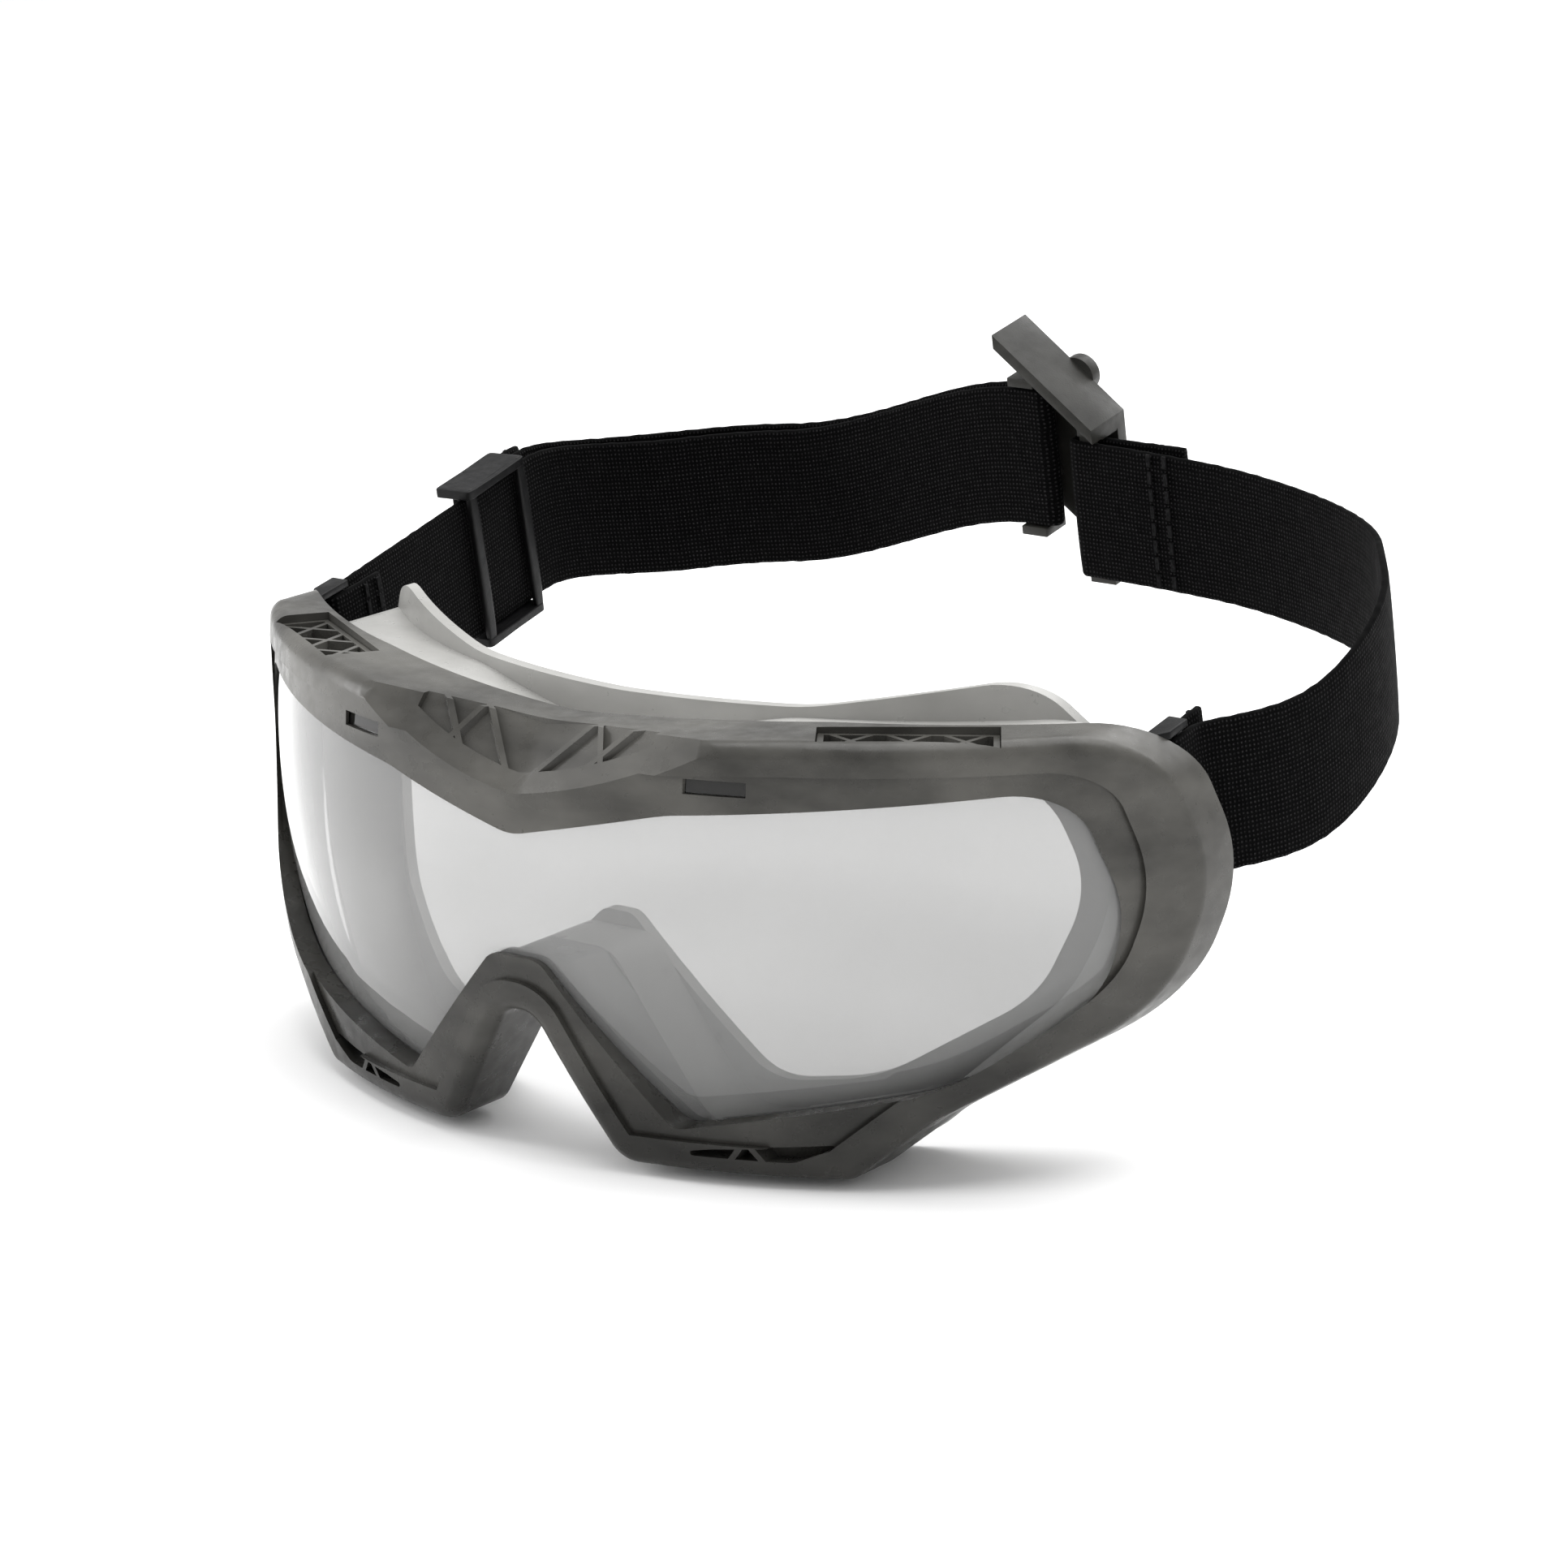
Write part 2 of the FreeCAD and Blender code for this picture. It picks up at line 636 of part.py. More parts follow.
CLIP_SLOPE = math.tan(math.radians(40.0))
CLIP_RAISE = 4.2
LEFT_LIFT = 8.0
CLIP_HALF = size("clip_length") * 0.4
RAIL_UNDER = half_width + 2.7
RAIL_THICK = 2.4
PLATE_FRONT = BACK + LAYER + half_band + 0.3 + 1.5 + EASE
PLATE_BACK = PLATE_FRONT + size("clip_plate")
STUD_RADIUS = 1.6
STUD_FIT = 0.05
STUD_ACROSS = -5.5
STUD_UP = (4.0, 16.0)
PLATE_RIGHT = 7.5
HOOK_FRONT = BACK + LAYER + half_band + 0.3


def slanted(left, right, low, high, near, far):
    """A plate whose top and bottom slope down to the right, low and high from its middle line."""
    corners = []
    for x, offset in ((left, low), (right, low), (right, high), (left, high)):
        corners.append(Vector(x, near, CLIP_RAISE - x * CLIP_SLOPE + offset))
    wire = Part.makePolygon(corners + corners[:1])
    return Part.Face(wire).extrude(Vector(0, far - near, 0))


def stud(radius, start, stop):
    """Both press studs of the clip, or their holes."""
    rods = []
    for up in STUD_UP:
        rods.append(Part.makeCylinder(radius, stop - start, Vector(STUD_ACROSS, start, up), Vector(0, 1, 0)))
    return rods


def rear_clip_plate():
    """The right half: a slanted plate with a deep top rail, a strap bar and two stud holes."""
    low = 1.5 - half_width
    top = RAIL_UNDER + RAIL_THICK
    plate = slanted(-CLIP_HALF, PLATE_RIGHT, low, top, PLATE_FRONT, PLATE_BACK)
    rail = slanted(-CLIP_HALF, PLATE_RIGHT, RAIL_UNDER, top, BACK - 2.4, PLATE_BACK)
    ears = []
    for side in (-1, 1):
        near, far = side * (half_width + EASE), side * (half_width + 1.4)
        ear_low = (CLIP_BAR - 0.4, BACK + half_band, min(near, far))
        ear_high = (CLIP_BAR + 4.4, PLATE_BACK, max(near, far))
        ears.append(block(ear_low, ear_high))
    rod_low = (CLIP_BAR, BACK + half_band, -half_width - 1.4)
    rod_high = (CLIP_BAR + BAR_WIDE, BACK + half_band + bar, half_width + 1.4)
    rod = block(rod_low, rod_high)
    thumb_up = CLIP_RAISE + RAIL_UNDER + 1.0
    thumb = Part.makeCylinder(3.2, 2.2, Vector(-1.0, PLATE_BACK - 0.2, thumb_up), Vector(0, 1, 0))
    whole = plate.fuse([rail, rod, thumb] + ears)
    return hung(whole.cut(stud(STUD_RADIUS + STUD_FIT, BACK, PLATE_BACK + 5.0)))


def rear_clip_hook():
    """The left half: a bar for the left strap on a web whose two studs snap into the plate."""
    left, right = -CLIP_BAR - 6.0, -CLIP_BAR - 1.2
    top, bottom = LEFT_LIFT + half_width, LEFT_LIFT - half_width
    web = block((left, HOOK_FRONT, bottom - 1.8), (right, HOOK_FRONT + 1.5, top + 1.8))
    ears = [
        block((left, BACK - half_band, top + EASE), (right, HOOK_FRONT, top + 1.8)),
        block((left, BACK - half_band, bottom - 1.8), (right, HOOK_FRONT, bottom - EASE)),
    ]
    rod_low = (-CLIP_BAR - 1.0 - BAR_WIDE, BACK + half_band, bottom - 1.8)
    rod_high = (right, BACK + half_band + bar, top + 1.8)
    rod = block(rod_low, rod_high)
    return hung(web.fuse(ears + [rod] + stud(STUD_RADIUS, HOOK_FRONT, PLATE_BACK)))


def left_strap_clip_end():
    """The left strap's last stretch: both layers climb to the clip and fold round its bar."""
    start = LEFT_CUT + EASE
    level = -CLIP_BAR - 6.0
    fold = -CLIP_BAR - 1.0
    pieces = []
    for layer in (0, 1):
        near = BACK + layer * LAYER - half_band
        corners = [
            Vector(start, near, -half_width),
            Vector(level, near, LEFT_LIFT - half_width),
            Vector(fold, near, LEFT_LIFT - half_width),
            Vector(fold, near, LEFT_LIFT + half_width),
            Vector(level, near, LEFT_LIFT + half_width),
            Vector(start, near, half_width),
        ]
        face = Part.Face(Part.makePolygon(corners + corners[:1]))
        pieces.append(face.extrude(Vector(0, band, 0)))
    centre = Vector(fold, BACK + LAYER / 2.0, LEFT_LIFT - half_width)
    outer = Part.makeCylinder(LAYER / 2.0 + half_band, 2 * half_width, centre, Vector(0, 0, 1))
    inner = Part.makeCylinder(LAYER / 2.0 - half_band, 2 * half_width, centre, Vector(0, 0, 1))
    past = block((fold, BACK - 2.0 * LAYER, -TALL), (fold + 2.0 * LAYER, BACK + 3.0 * LAYER, TALL))
    pieces.append(outer.cut(inner).common(past))
    return hung(pieces[0].fuse(pieces[1:]))


# ---------------------------------------------------------------- stitching

THREAD = 0.35
STITCH_PITCH = 3.0
STITCH_LONG = 2.1


def seam(face_point, across_face):
    """Rows of stitches standing on a strap face: one short rod per stitch, across the webbing."""
    count = int((2.0 * half_width - 3.0) / STITCH_PITCH)
    rods = []
    for row in (-1.5, 1.5):
        for i in range(count + 1):
            up = (i - count / 2.0) * STITCH_PITCH
            low = [face_point[0], face_point[1], up - STITCH_LONG / 2.0]
            high = [face_point[0], face_point[1], up + STITCH_LONG / 2.0]
            along = 0 if across_face == "y" else 1
            thick = 1 - along
            low[along] += row - THREAD
            high[along] += row + THREAD
            high[thick] += THREAD
            rods.append(block(low, high))
    return rods


def in_one(rods):
    """Separate stitches kept together as one piece of thread."""
    return Part.makeCompound(rods)


right_seam_x = CLIP_BAR + RIGHT_TAB - 3.5
right_clip_seam = hung(in_one(
    seam((right_seam_x, BACK - half_band - THREAD), "y") + seam((right_seam_x, BACK + LAYER + half_band), "y")))
right_lug_seam = hung(in_one(seam((LUG_ACROSS - LAYER / 2.0 - half_band - THREAD, LUG_TAB - 2.8), "x")))
left_lug_seam = hung(in_one(seam((-LUG_ACROSS + LAYER / 2.0 + half_band, LUG_TAB - 2.8), "x")))
adjuster_seam = riding(in_one(seam((-2.0 * LAYER - half_band - THREAD, SEWN_LONG - 5.5), "x")))

add_part("frame", frame)
add_part("lens", lens)
add_part("face_seal", face_seal)
right_grille = top_grille()
add_part("right_top_vent_grille", right_grille)
add_part("left_top_vent_grille", mirrored(right_grille))
right_baffle = lower_baffle()
add_part("right_lower_vent_baffle", right_baffle)
add_part("left_lower_vent_baffle", mirrored(right_baffle))
right_lug = strap_lug()
add_part("right_strap_lug", right_lug)
add_part("left_strap_lug", mirrored(right_lug))
add_part("right_strap", right_strap)
add_part("left_strap", left_strap)
add_part("left_strap_return", left_strap_return)
add_part("left_strap_sewn_end", sewn_end)
add_part("left_strap_clip_end", left_strap_clip_end())
add_part("strap_adjuster", strap_adjuster())
add_part("rear_clip_plate", rear_clip_plate())
add_part("rear_clip_hook", rear_clip_hook())
add_part("right_clip_stitching", right_clip_seam)
add_part("right_lug_stitching", right_lug_seam)
add_part("left_lug_stitching", left_lug_seam)
add_part("adjuster_stitching", adjuster_seam)
doc.recompute()
for item in parts:
    shape = item.Shape
    faulty = "Invalid" in item.State or "Error" in item.State
    if faulty or shape.isNull() or not shape.isValid() or not shape.Solids:
        raise RuntimeError("sub-part %s did not build" % item.Label)
    print("%-26s %2d solids %8.0f mm3" % (item.Label, len(shape.Solids), shape.Volume))
os.makedirs("parts", exist_ok=True)
for item in parts:
    item.Shape.exportStep("parts/%s.step" % item.Label)
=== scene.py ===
import json
import math

import bmesh
import bpy
import numpy as np
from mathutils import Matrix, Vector


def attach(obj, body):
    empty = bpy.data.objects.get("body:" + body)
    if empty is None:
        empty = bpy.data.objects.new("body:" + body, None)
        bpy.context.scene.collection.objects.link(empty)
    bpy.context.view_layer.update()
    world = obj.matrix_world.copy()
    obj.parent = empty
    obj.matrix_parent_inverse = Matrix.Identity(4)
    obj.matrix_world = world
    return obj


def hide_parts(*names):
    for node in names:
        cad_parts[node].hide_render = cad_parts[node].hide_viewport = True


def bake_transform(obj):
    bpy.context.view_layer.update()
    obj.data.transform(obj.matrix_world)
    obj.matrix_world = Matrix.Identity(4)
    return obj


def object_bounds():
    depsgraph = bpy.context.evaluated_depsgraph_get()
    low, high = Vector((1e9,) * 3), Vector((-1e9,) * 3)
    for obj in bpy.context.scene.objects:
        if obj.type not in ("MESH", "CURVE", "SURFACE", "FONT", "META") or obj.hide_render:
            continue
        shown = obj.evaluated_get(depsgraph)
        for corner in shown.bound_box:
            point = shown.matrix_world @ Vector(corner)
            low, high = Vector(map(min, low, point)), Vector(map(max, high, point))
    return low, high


# Safety goggles: a smoky moulded frame with a clear lens and a soft face seal, worn on a woven
# elastic strap with a slide adjuster and a two-part clip at the back. Blender's lengths are in
# metres. The strap and the adjuster are laid out in millimetres and turned into metres at the end.

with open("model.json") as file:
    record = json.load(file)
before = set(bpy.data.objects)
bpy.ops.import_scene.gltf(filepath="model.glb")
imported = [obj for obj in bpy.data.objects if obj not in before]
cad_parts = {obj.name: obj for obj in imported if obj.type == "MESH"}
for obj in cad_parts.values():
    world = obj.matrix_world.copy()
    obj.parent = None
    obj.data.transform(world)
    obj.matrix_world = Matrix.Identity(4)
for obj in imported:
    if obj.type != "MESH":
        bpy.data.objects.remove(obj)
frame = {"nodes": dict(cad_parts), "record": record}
cad_low, cad_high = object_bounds()
MM = 0.001


# ---------------------------------------------------------------- material helpers

def new_material(name):
    """An empty node material with a Principled shader joined to its output."""
    material = bpy.data.materials.new(name)
    material.use_nodes = True
    nodes = material.node_tree.nodes
    nodes.clear()
    shader = nodes.new("ShaderNodeBsdfPrincipled")
    output = nodes.new("ShaderNodeOutputMaterial")
    material.node_tree.links.new(shader.outputs["BSDF"], output.inputs["Surface"])
    return material, nodes, material.node_tree.links, shader


def object_noise(nodes, links, scale, detail, stretch=(1.0, 1.0, 1.0)):
    """Noise that keeps its size in metres on the piece."""
    coordinates = nodes.new("ShaderNodeTexCoord")
    mapping = nodes.new("ShaderNodeMapping")
    mapping.inputs["Scale"].default_value = stretch
    noise = nodes.new("ShaderNodeTexNoise")
    noise.inputs["Scale"].default_value = scale
    noise.inputs["Detail"].default_value = detail
    links.new(coordinates.outputs["Object"], mapping.inputs["Vector"])
    links.new(mapping.outputs["Vector"], noise.inputs["Vector"])
    return noise


def spread(nodes, links, source, low, high, low_at=0.3, high_at=0.7):
    """A value or colour run from low to high as the source goes from one level to another."""
    ramp = nodes.new("ShaderNodeValToRGB")
    ramp.color_ramp.elements[0].position = low_at
    ramp.color_ramp.elements[1].position = high_at
    ramp.color_ramp.elements[0].color = low
    ramp.color_ramp.elements[1].color = high
    links.new(source, ramp.inputs["Fac"])
    return ramp


def grey(level):
    """A neutral colour."""
    return (level, level, level, 1.0)


def raised(nodes, links, shader, height, strength, distance):
    """Bump from a height."""
    bump = nodes.new("ShaderNodeBump")
    bump.inputs["Strength"].default_value = strength
    bump.inputs["Distance"].default_value = distance
    links.new(height, bump.inputs["Height"])
    links.new(bump.outputs["Normal"], shader.inputs["Normal"])


def tinted(nodes, links, blend_type, amount, first, second):
    """Two colours mixed, with the second one laid over the first by the amount."""
    mix = nodes.new("ShaderNodeMix")
    mix.data_type = "RGBA"
    mix.blend_type = blend_type
    for value, socket in ((amount, mix.inputs[0]), (first, mix.inputs[6]), (second, mix.inputs[7])):
        if isinstance(value, bpy.types.NodeSocket):
            links.new(value, socket)
        else:
            socket.default_value = value
    return mix.outputs[2]


def compared(nodes, links, operation, first, second=None):
    """A maths node over a linked value and, if given, a second linked value or a plain number."""
    node = nodes.new("ShaderNodeMath")
    node.operation = operation
    links.new(first, node.inputs[0])
    if isinstance(second, bpy.types.NodeSocket):
        links.new(second, node.inputs[1])
    elif second is not None:
        node.inputs[1].default_value = second
    return node.outputs["Value"]


def object_place(nodes, links):
    """The place on the piece, split into its three directions."""
    coordinates = nodes.new("ShaderNodeTexCoord")
    place = nodes.new("ShaderNodeSeparateXYZ")
    links.new(coordinates.outputs["Object"], place.inputs["Vector"])
    return place


# Painted shade on the smoky plastic changes between these heights: it is darkest at the cheeks, at
# the bottom, and as light as it gets from a little above the middle.
PAINTED_SHADE_FROM = -30.0 * MM
PAINTED_SHADE_TO = 36.0 * MM


def smoky_moulding(name, dark, light, clearness, rough_low, rough_high):
    """Soft translucent plastic: cloudy colour with painted shade that darkens it towards the cheeks at
    the bottom, a fine moulded grain and patchy gloss."""
    material, nodes, links, shader = new_material(name)
    cloud = object_noise(nodes, links, 55.0, 5.0, (0.7, 1.0, 1.6))
    colour = spread(nodes, links, cloud.outputs["Fac"], dark, light, 0.32, 0.66)
    height = nodes.new("ShaderNodeMapRange")
    height.inputs["From Min"].default_value = PAINTED_SHADE_FROM
    height.inputs["From Max"].default_value = PAINTED_SHADE_TO
    links.new(object_place(nodes, links).outputs["Z"], height.inputs["Value"])
    # Painted shade: the colour is darkened towards the bottom of the piece.
    painted_shade = spread(nodes, links, height.outputs["Result"], grey(0.38), grey(1.0), 0.02, 0.62)
    with_painted_shade = tinted(nodes, links, "MULTIPLY", 1.0, colour.outputs["Color"], painted_shade.outputs["Color"])
    links.new(with_painted_shade, shader.inputs["Base Color"])
    haze = object_noise(nodes, links, 380.0, 4.0)
    roughness = spread(nodes, links, haze.outputs["Fac"], grey(rough_low), grey(rough_high))
    links.new(roughness.outputs["Color"], shader.inputs["Roughness"])
    shader.inputs["Transmission Weight"].default_value = clearness
    shader.inputs["IOR"].default_value = 1.40
    shader.inputs["Specular IOR Level"].default_value = 0.34
    grain = object_noise(nodes, links, 1500.0, 2.0)
    raised(nodes, links, shader, grain.outputs["Fac"], 0.03, 0.0001)
    return material


# The lens's snap tabs lie nearer the middle than this and above the window's edge.
TABS_OUT = 45.0 * MM
TABS_UP = 26.6 * MM
# Painted shade: the colour given to the snap tabs for the rim's shade over them.
TAB_PAINTED_SHADE = (0.045, 0.044, 0.040, 1.0)


def clear_lens(name):
    """Clear hard plastic with a faint grey body, light haze and hairline marks. Its snap tabs, above
    the window, are seen only in the rim's shade, which is painted on them as a darker colour."""
    material, nodes, links, shader = new_material(name)
    haze = object_noise(nodes, links, 18.0, 2.0)
    colour = spread(nodes, links, haze.outputs["Fac"], (0.43, 0.43, 0.426, 1.0), (0.48, 0.48, 0.476, 1.0))
    place = object_place(nodes, links)
    from_middle = compared(nodes, links, "ABSOLUTE", place.outputs["X"])
    near_middle = compared(nodes, links, "LESS_THAN", from_middle, TABS_OUT)
    above_window = compared(nodes, links, "GREATER_THAN", place.outputs["Z"], TABS_UP)
    painted_shade_on_tab = compared(nodes, links, "MULTIPLY", near_middle, above_window)
    # Painted shade on the snap tabs, under the rim.
    tab_shade_painted = tinted(nodes, links, "MIX", painted_shade_on_tab, colour.outputs["Color"], TAB_PAINTED_SHADE)
    links.new(tab_shade_painted, shader.inputs["Base Color"])
    marks = object_noise(nodes, links, 260.0, 5.0, (1.0, 1.0, 14.0))
    roughness = spread(nodes, links, marks.outputs["Fac"], grey(0.015), grey(0.075), 0.45, 0.8)
    links.new(roughness.outputs["Color"], shader.inputs["Roughness"])
    shader.inputs["Transmission Weight"].default_value = 0.72
    shader.inputs["IOR"].default_value = 1.18
    shader.inputs["Coat Weight"].default_value = 0.55
    shader.inputs["Coat Roughness"].default_value = 0.03
    raised(nodes, links, shader, haze.outputs["Fac"], 0.04, 0.0004)
    return material


# How many times lighter the plastic is where its sharpest points have been rubbed.
RUBBED = 1.9


def hard_plastic(name, dark, light, rough_low, rough_high, shine):
    """Opaque moulded plastic with a fine grain, cloudy gloss and a lighter rub on only its sharpest
    points."""
    material, nodes, links, shader = new_material(name)
    cloud = object_noise(nodes, links, 140.0, 4.0)
    colour = spread(nodes, links, cloud.outputs["Fac"], dark, light)
    geometry = nodes.new("ShaderNodeNewGeometry")
    edge = spread(nodes, links, geometry.outputs["Pointiness"], grey(0.0), grey(0.5), 0.60, 0.75)
    worn = tuple(RUBBED * level for level in light[:3]) + (1.0,)
    rubbed = tinted(nodes, links, "MIX", edge.outputs["Color"], colour.outputs["Color"], worn)
    links.new(rubbed, shader.inputs["Base Color"])
    haze = object_noise(nodes, links, 700.0, 4.0)
    roughness = spread(nodes, links, haze.outputs["Fac"], grey(rough_low), grey(rough_high))
    links.new(roughness.outputs["Color"], shader.inputs["Roughness"])
    shader.inputs["Specular IOR Level"].default_value = shine
    grain = object_noise(nodes, links, 3200.0, 2.0)
    raised(nodes, links, shader, grain.outputs["Fac"], 0.2, 0.0001)
    return material


def thread_bands(nodes, links, cloth, direction, scale, distortion, detail):
    """Even bands of thread across one direction of the cloth."""
    wave = nodes.new("ShaderNodeTexWave")
    wave.wave_type = "BANDS"
    wave.bands_direction = direction
    wave.wave_profile = "SIN"
    wave.inputs["Scale"].default_value = scale
    wave.inputs["Distortion"].default_value = distortion
    wave.inputs["Detail"].default_value = detail
    links.new(cloth.outputs["UV"], wave.inputs["Vector"])
    return wave


def woven_elastic(name):
    """Black elastic webbing: ribs along its length, picks across them and grey flecks of thread."""
    material, nodes, links, shader = new_material(name)
    cloth = nodes.new("ShaderNodeUVMap")
    cloth.uv_map = "cloth"
    ribs = thread_bands(nodes, links, cloth, "Y", 420.0, 0.6, 1.0)
    picks = thread_bands(nodes, links, cloth, "X", 480.0, 1.6, 2.0)
    weave = compared(nodes, links, "MULTIPLY", ribs.outputs["Fac"], picks.outputs["Fac"])
    flecks = nodes.new("ShaderNodeTexNoise")
    flecks.inputs["Scale"].default_value = 2400.0
    flecks.inputs["Detail"].default_value = 2.0
    links.new(cloth.outputs["UV"], flecks.inputs["Vector"])
    lit = compared(nodes, links, "MULTIPLY", weave, flecks.outputs["Fac"])
    black, worn_grey = (0.0010, 0.0010, 0.0011, 1.0), (0.034, 0.033, 0.034, 1.0)
    colour = spread(nodes, links, lit, black, worn_grey, 0.20, 0.72)
    links.new(colour.outputs["Color"], shader.inputs["Base Color"])
    fuzz = object_noise(nodes, links, 500.0, 3.0)
    roughness = spread(nodes, links, fuzz.outputs["Fac"], grey(0.78), grey(0.95))
    links.new(roughness.outputs["Color"], shader.inputs["Roughness"])
    shader.inputs["Sheen Weight"].default_value = 0.008
    shader.inputs["Sheen Roughness"].default_value = 0.45
    shader.inputs["Specular IOR Level"].default_value = 0.045
    raised(nodes, links, shader, lit, 0.8, 0.0003)
    return material


def sewing_thread(name):
    """Twisted black thread."""
    material, nodes, links, shader = new_material(name)
    twist = object_noise(nodes, links, 3500.0, 2.0, (1.0, 1.0, 0.4))
    black, grey_black = (0.002, 0.002, 0.0022, 1.0), (0.014, 0.014, 0.0145, 1.0)
    colour = spread(nodes, links, twist.outputs["Fac"], black, grey_black)
    links.new(colour.outputs["Color"], shader.inputs["Base Color"])
    shader.inputs["Roughness"].default_value = 0.75
    shader.inputs["Specular IOR Level"].default_value = 0.06
    raised(nodes, links, shader, twist.outputs["Fac"], 0.6, 0.0001)
    return material


SMOKE = smoky_moulding(
    "smoky_frame", (0.030, 0.029, 0.026, 1), (0.098, 0.095, 0.086, 1), 0.06, 0.22, 0.42)
SMOKE_SEAL = smoky_moulding(
    "smoky_seal", (0.34, 0.337, 0.323, 1), (0.48, 0.476, 0.459, 1), 0.16, 0.26, 0.42)
LENS = clear_lens("clear_lens")
CLIP = hard_plastic(
    "smoky_clip", (0.017, 0.0166, 0.015, 1), (0.034, 0.0333, 0.030, 1), 0.30, 0.48, 0.22)
BLACK = hard_plastic(
    "black_hardware", (0.0035, 0.0035, 0.0038, 1), (0.007, 0.007, 0.0074, 1), 0.32, 0.50, 0.14)
ELASTIC = woven_elastic("woven_elastic")
THREAD = sewing_thread("sewing_thread")


# ---------------------------------------------------------------- moulded pieces

# Points closer together than this are one. Edges flatter than NEARLY_FLAT are dissolved before a
# bevel, edges sharper than CREASE are shaded sharp, and a bevel takes those above BEVEL_FROM.
MERGE_WITHIN = 0.002 * MM
NEARLY_FLAT = math.radians(1.0)
CREASE = math.radians(38.0)
BEVEL_FROM = math.radians(35.0)


def join_up(mesh, dissolve):
    """Merge the loose triangles of a mesh, dissolve its flat edges if asked, and shade it smoothly
    apart from its creases."""
    work = bmesh.new()
    work.from_mesh(mesh)
    bmesh.ops.remove_doubles(work, verts=work.verts, dist=MERGE_WITHIN)
    if dissolve:
        bmesh.ops.dissolve_limit(work, angle_limit=NEARLY_FLAT, verts=work.verts, edges=work.edges)
    for edge in work.edges:
        edge.smooth = len(edge.link_faces) == 2 and edge.calc_face_angle(0.0) < CREASE
    for face in work.faces:
        face.smooth = True
    work.to_mesh(mesh)
    work.free()
    if "sharp_face" in mesh.attributes:
        mesh.attributes.remove(mesh.attributes["sharp_face"])
    if mesh.has_custom_normals:
        mesh.attributes.remove(mesh.attributes["custom_normal"])


def bevel_corners(made, width):
    """Round an object's corners over by a width."""
    bevel = made.modifiers.new("round_over", "BEVEL")
    bevel.width = width
    bevel.segments = 3
    bevel.limit_method = "ANGLE"
    bevel.angle_limit = BEVEL_FROM
    for edge in made.data.edges:
        edge.use_edge_sharp = False


def finished_copy(node, piece, material, round_over=0.0):
    """The node's own surface, joined up and smoothly shaded, with its corners rounded over if asked."""
    mesh = frame["nodes"][node].data.copy()
    join_up(mesh, dissolve=round_over > 0)
    mesh.materials.clear()
    mesh.materials.append(material)
    made = bpy.data.objects.new(piece, mesh)
    bpy.context.scene.collection.objects.link(made)
    if round_over > 0:
        bevel_corners(made, round_over)
    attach(made, body_of_node(node))
    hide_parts(node)


def body_of_node(node):
    """The body that carries a node."""
    for body, members in frame["record"]["behaviour"]["bodies"].items():
        if node in members:
            return body
    return "goggles"


finished_copy("frame", "moulded_frame", SMOKE)
finished_copy("lens", "curved_lens", LENS)
finished_copy("face_seal", "soft_face_seal", SMOKE_SEAL)
for side in ("right", "left"):
    finished_copy(side + "_top_vent_grille", side + "_top_lattice", SMOKE)
    finished_copy(side + "_lower_vent_baffle", side + "_cheek_baffle", SMOKE)
    finished_copy(
        side + "_strap_lug", side + "_lug", BLACK, round_over=0.25 * MM)
finished_copy("rear_clip_plate", "clip_plate", CLIP, round_over=0.5 * MM)
finished_copy("rear_clip_hook", "clip_hook", CLIP, round_over=0.25 * MM)
for name in ("right_clip_stitching", "right_lug_stitching", "left_lug_stitching", "adjuster_stitching"):
    finished_copy(name, name.replace("stitching", "thread"), THREAD)


# ---------------------------------------------------------------- strap layout

# The strap lies in one plane that rises to the back of the head. In it x runs across, y runs back
# from the temples and z is the webbing's width. HANG is the plane's origin on the goggles, SWELL
# half the loop's width beside the head, BACK how far back the loop reaches and LAYER the step
# between two layers of webbing with a bar between them.
STRAP_RISE = math.radians(11.4)
HANG = np.array([0.0, 24.0, 20.4])
SEAL_TO_BACK = 121.0
SWELL = 95.0
WEBBING = 24.0
THICK = 1.6
BAR = 1.0
LAYER = THICK + BAR
BACK = (SEAL_TO_BACK - HANG[1]) / math.cos(STRAP_RISE)
LUG_ACROSS = 77.5
LUG_BAR = 3.5
LUG_TAB = 14.0
LUG_STRAIGHT = 9.0
CLIP_BAR = 3.0
RIGHT_TAB = 19.0
LEFT_CUT = -32.0
LEFT_LIFT = 8.0
ADJUSTER_BACK = 74.0


def on_goggles(plane_points):
    """Points of the strap's plane, in millimetres, set in their place on the goggles in metres."""
    x, y, z = plane_points[..., 0], plane_points[..., 1], plane_points[..., 2]
    back = HANG[1] + y * math.cos(STRAP_RISE) - z * math.sin(STRAP_RISE)
    up = HANG[2] + y * math.sin(STRAP_RISE) + z * math.cos(STRAP_RISE)
    return np.stack([x, back, up], axis=-1) * MM


PATH_STEP = 1.5
FEWEST_IN_ARC = 7
NEAREST = 0.05


def corner_arc(before, spot, after, radius):
    """The arc of one radius that touches both runs at a corner. It starts radius / tan(half) before
    the corner and turns by 180 degrees less twice half, where half is half the corner's angle."""
    back = before - spot
    ahead = after - spot
    back /= np.linalg.norm(back)
    ahead /= np.linalg.norm(ahead)
    half = math.acos(float(np.clip(back @ ahead, -1, 1))) / 2.0
    reach = radius / math.tan(half)
    middle = (back + ahead) / np.linalg.norm(back + ahead) * radius / math.sin(half)
    centre = spot + middle
    first = spot + back * reach - centre
    turn = math.pi - 2.0 * half
    side = math.copysign(1.0, back[0] * ahead[1] - back[1] * ahead[0])
    angles = -side * np.linspace(0.0, turn, max(FEWEST_IN_ARC, int(radius * turn / PATH_STEP)))
    cos, sin = np.cos(angles)[:, None], np.sin(angles)[:, None]
    return centre + first * cos + np.array([-first[1], first[0]]) * sin


